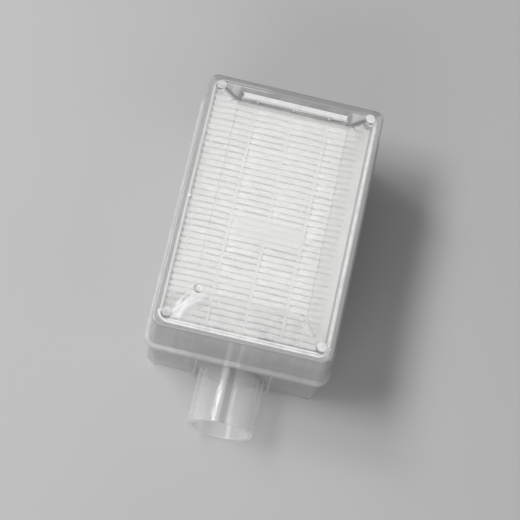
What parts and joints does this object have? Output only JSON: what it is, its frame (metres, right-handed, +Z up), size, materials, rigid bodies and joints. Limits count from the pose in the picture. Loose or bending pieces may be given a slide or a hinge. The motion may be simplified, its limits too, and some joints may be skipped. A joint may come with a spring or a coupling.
{
  "type": "compressor inlet filter",
  "caption": "Translucent box filter for a compressor air intake: pleated medium under a crowned cover, tray with a round outlet tube.",
  "frame": {"origin": "centre of the rim plan, on the flat underside of the tray", "axes": "+Z up through the crowned cover, -Y out along the outlet tube, X across the box"},
  "size_m": [0.062, 0.1101, 0.053],
  "materials": {
    "milky_cover": "translucent natural polypropylene, glossy",
    "milky_tray": "translucent natural polypropylene, glossy",
    "filter_medium": "white pleated glass fibre paper",
    "hot_melt": "white hot melt adhesive"
  },
  "bodies": {
    "root": {"cover": "milky_cover", "tray": "milky_tray", "pleated_pack": "filter_medium", "spacer_beads_upper": "hot_melt", "spacer_beads_lower": "hot_melt", "pack_seal": "hot_melt"}
  },
  "joints": []
}
